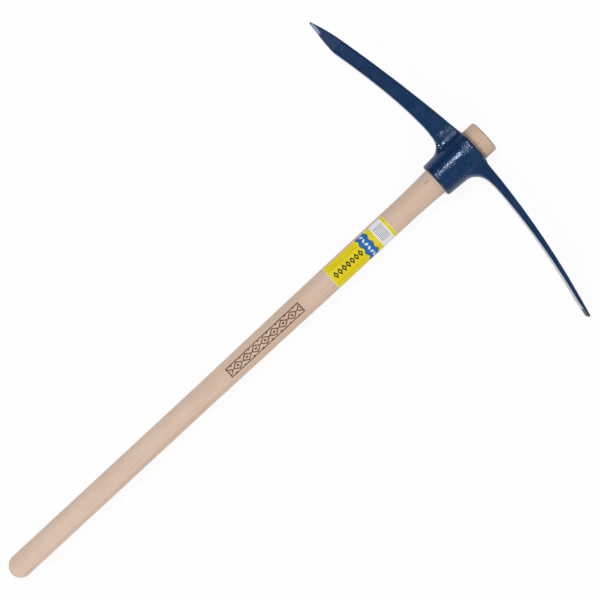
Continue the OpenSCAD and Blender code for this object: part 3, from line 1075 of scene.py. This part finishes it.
def makePrint():
    s = printSettings
    length, width = labelSettings["length"], labelWidth
    material, tree, shader = startMaterial("printed_paper")
    flat = addNode(tree, "UVMap", uv_map="print")
    u, v = splitAxes(tree, flat.outputs["UV"])[:2]
    along = times(tree, u, length)
    across = times(tree, v, width)
    sheet = addNode(tree, "CombineXYZ")
    feed(tree, sheet.inputs[0], along)
    feed(tree, sheet.inputs[1], across)
    spot = sheet.outputs[0]

    ink = place(tree, softMottle, vector=spot, **s["ink"])
    colour = layTone(tree, s["yellow"], s["amber"], ink, s["inkShare"])
    colour = blendTone(tree, band(tree, along, *s["whiteBand"], s["printSoft"]), colour, s["white"])
    colour = blendTone(tree, addHatch(tree, along, across), colour, s["grey"])

    wave = waves(tree, across, s["waveLength"])
    waved = addShares(tree, along, (wave, s["waveHeight"]))
    low, high = s["blueBand"]
    edge = s["navyEdge"]
    colour = blendTone(tree, band(tree, waved, low - edge, high + edge, s["printSoft"]), colour, s["navy"])
    colour = blendTone(tree, band(tree, waved, low, high, s["printSoft"]), colour, s["blue"])
    colour = blendTone(tree, addDiscs(tree, waved, across), colour, s["white"])

    # dark lozenges with yellow hearts, between two thin wavy lines
    rowAlong = calc(tree, "SUBTRACT", along, s["rowMiddle"][0])
    rowAcross = calc(tree, "SUBTRACT", across, s["rowMiddle"][1])
    row = dict(along=rowAlong, across=rowAcross, pitch=s["rowReach"] / s["rowCells"],
               stroke=s["rowStroke"], reach=s["rowReach"])
    dark, heart = (place(tree, lozengeRow, "inside", **row, **s[name]) for name in ("lozenge", "heart"))
    colour = blendTone(tree, calc(tree, "SUBTRACT", dark, heart, clamp=True), colour, s["dark"])
    colour = layTone(tree, colour, s["brown"], addLines(tree, along, across), s["lineShare"])

    fromEnds = calc(tree, "MINIMUM", along, calc(tree, "SUBTRACT", length, along))
    fromSides = calc(tree, "MINIMUM", across, calc(tree, "SUBTRACT", width, across))
    edge = ramp(tree, calc(tree, "MINIMUM", fromEnds, fromSides), *s["margin"], 1.0, 0.0)
    worn = place(tree, edgeWear, edge=edge, vector=spot, **s["edgeWear"])
    worn = largest(tree, worn, place(tree, fineSpecks, vector=spot, **s["chips"]))
    crease = place(tree, hairline, vector=spot, **s["crease"])
    worn = largest(tree, worn, times(tree, crease, s["creaseShare"]))
    colour = layTone(tree, colour, s["paper"], worn, s["wornShare"])

    rough = addShares(tree, ramp(tree, ink, 0.0, 1.0, *s["rough"]), (worn, s["wornRough"]))
    fill(tree, shader, {"Base Color": colour, "Roughness": rough, "Specular IOR Level": s["specular"]})
    height = times(tree, noise(tree, spot, *s["bubbles"]), s["bubbleHeight"])
    height = addShares(tree, height, (noise(tree, spot, *s["fibre"]), s["fibreHeight"]),
                       (worn, s["wornHeight"]))
    bumps(tree, shader, height, *s["bumps"])
    return material


label.data.materials.append(makePrint())
print("materials made")


# pale floor just under the head, which stays clear of it all along the handle

floorSettings = {
    "size": 160.0,
    "tone": (0.95, 0.95, 0.95, 1.0),
    "rough": 0.9,
    "gap": 0.0001,
    "whiteShare": 0.92,  # how much of what the camera sees of the floor is plain white
    "mirroredShare": 0.27,  # and of what the paint mirrors of it
}


def makeFloor():
    s = floorSettings
    deselectAll()
    bpy.ops.mesh.primitive_plane_add(size=s["size"], location=(0, 0, headLow.z - s["gap"]))
    floor = nameNew("floor")
    bakePlace()
    material, tree, shader = startMaterial("pale_floor")
    fill(tree, shader, {"Base Color": s["tone"], "Roughness": s["rough"], "Specular IOR Level": 0.0})
    path = addNode(tree, "LightPath").outputs
    seen = largest(tree, path["Is Camera Ray"], path["Is Transmission Ray"])
    seen = times(tree, seen, s["whiteShare"])
    seen = largest(tree, seen, times(tree, path["Is Glossy Ray"], s["mirroredShare"]))
    white = addNode(tree, "Emission")
    mixed = addNode(tree, "MixShader")
    for socket, value in zip(mixed.inputs, (seen, shader.outputs[0], white.outputs[0])):
        feed(tree, socket, value)
    feed(tree, tree.nodes["Material Output"].inputs["Surface"], mixed.outputs[0])
    floor.data.materials.append(material)


makeFloor()

lightSettings = {
    # a long soft box over the point: share of the floor's white, tilt from straight up, heading
    "box": (0.40, 20, 93),
    "boxSize": (0.6, 2.3),
    "away": 10.0,
    # suns: the same, and width in degrees
    "left": (0.08, 64, 152, 13),
    "right": (0.05, 58, -6, 30),
    "fill": (0.08, 62, -135, 40),
    "back": (0.03, 66, 92, 40),
    "backTone": (0.62, 0.86, 1.0),
    # the sky, pale on the chisel's side and dim on the point's
    "sky": (1, 1, 1, 1),
    "skyFade": (-0.5, 0.65),
    "skyStrength": (0.64, 0.08),
    "mirroredSky": (0.36, 0.62, 0.74, 1.0),  # how the paint mirrors it, dimmer and cooler
}


def addLamp(name, kind, share, tilt, heading):
    lean, turn = math.radians(tilt), math.radians(heading)
    aside = math.sin(lean)
    towards = Vector((aside * math.cos(turn), aside * math.sin(turn), math.cos(lean)))
    aim = towards.to_track_quat("Z", "Y").to_euler()
    middle = Vector((headLow.x, 0, 0))
    deselectAll()
    bpy.ops.object.light_add(type=kind, location=middle + towards * lightSettings["away"], rotation=aim)
    lamp = nameNew(name + "Light")
    lamp.data.energy = share * math.pi / math.cos(lean)  # a white floor sends back its share of white
    return lamp


def makeLights():
    s = lightSettings
    box = addLamp("box", "AREA", *s["box"]).data
    box.shape = "RECTANGLE"
    box.size, box.size_y = s["boxSize"]
    box.energy *= math.pi * s["away"] ** 2
    for name in ("left", "right", "fill", "back"):
        sun = addLamp(name, "SUN", *s[name][:3])
        sun.data.angle = math.radians(s[name][3])
    sun.data.color = s["backTone"]  # the back one is cool, and nothing mirrors it
    sun.visible_glossy = False


def makeSky():
    s = lightSettings
    world = bpy.data.worlds.new("paleSky")
    bpy.context.scene.world = world
    world.use_nodes = True
    tree = world.node_tree
    side = splitAxes(tree, addNode(tree, "TexCoord").outputs["Generated"])[1]
    level = ramp(tree, side, *s["skyFade"], *s["skyStrength"])
    mirrored = addNode(tree, "LightPath").outputs["Is Glossy Ray"]
    colour = blendTone(tree, mirrored, s["sky"], s["mirroredSky"])
    fill(tree, tree.nodes["Background"], {"Strength": level, "Color": colour})


makeLights()
makeSky()

cameraSettings = {
    "place": (0.38256, 0.007385, 4.6),
    "roll": -42.82,
    "imageWidth": 0.884,  # what the picture spans at the handle's height
    "sensor": 36,
    "clipEnd": 300,
}


def makeCamera():
    s = cameraSettings
    deselectAll()
    bpy.ops.object.camera_add(location=s["place"], rotation=(0, 0, math.radians(s["roll"])))
    camera = bpy.context.active_object
    camera.data.sensor_width = s["sensor"]
    camera.data.lens = s["sensor"] * s["place"][2] / s["imageWidth"]
    camera.data.clip_end = s["clipEnd"]
    bpy.context.scene.camera = camera


makeCamera()
bpy.context.scene.view_settings.view_transform = "Standard"
print("floor, lights and camera set")
